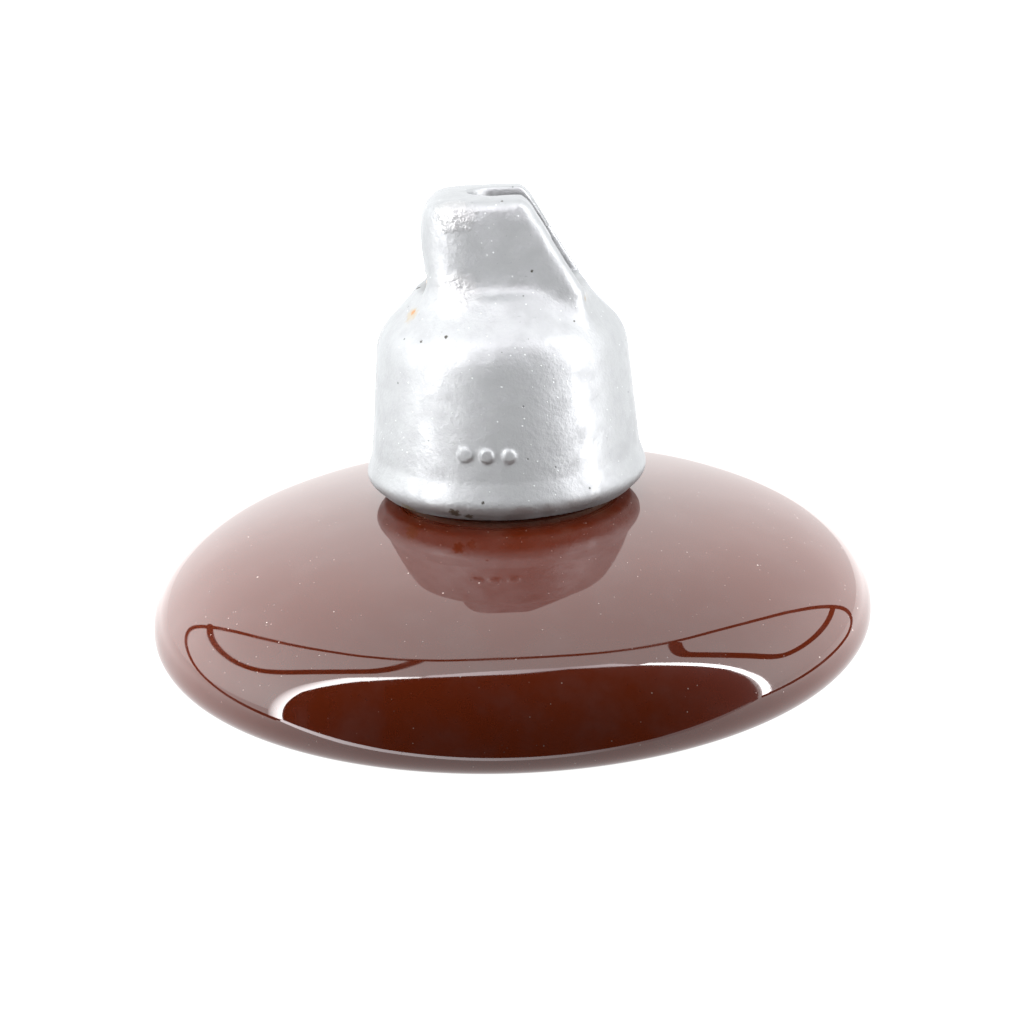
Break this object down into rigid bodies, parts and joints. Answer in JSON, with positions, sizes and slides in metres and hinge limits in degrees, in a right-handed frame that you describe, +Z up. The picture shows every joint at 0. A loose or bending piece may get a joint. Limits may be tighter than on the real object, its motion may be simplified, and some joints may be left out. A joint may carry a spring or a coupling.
{
  "type": "porcelain suspension insulator",
  "caption": "Cap-and-pin disc insulator: brown glazed porcelain shell under a cemented iron socket cap with a locking clip, and a steel pin that ends in a ball.",
  "frame": {"origin": "centre of the ball's flat lower end, on the unit's axis, at the lowest point of the unit", "axes": "+Z up along the unit's axis from the ball to the socket; +X out of the socket's open side; the unit is the same on both sides of the XZ plane"},
  "size_m": [0.255, 0.255, 0.171],
  "materials": {
    "glaze": "glossy dark red-brown glaze",
    "grit": "rough fired porcelain grit",
    "cap_iron": "satin hot-dip zinc over malleable iron",
    "pin_steel": "satin hot-dip zinc over forged steel",
    "bitumen": "dull black bitumen paint",
    "cement": "dull grey Portland cement",
    "cork": "pressed cork",
    "clip_bronze": "drawn phosphor bronze wire"
  },
  "bodies": {
    "unit": {"porcelain_shell": "glaze", "head_sand_band": "grit", "bore_sand_band": "grit", "socket_cap": "cap_iron", "cap_bitumen_coat": "bitumen", "cap_cement": "cement", "head_cushion": "cork", "ball_pin": "pin_steel", "pin_bitumen_coat": "bitumen", "pin_cement": "cement", "pin_end_cushion": "cork"},
    "clip": {"locking_clip": "clip_bronze"}
  },
  "joints": [
    {"name": "clip_slide", "type": "slide", "parent": "unit", "child": "clip", "axis": [-1, 0, 0], "range_m": [0, 0.014]}
  ]
}
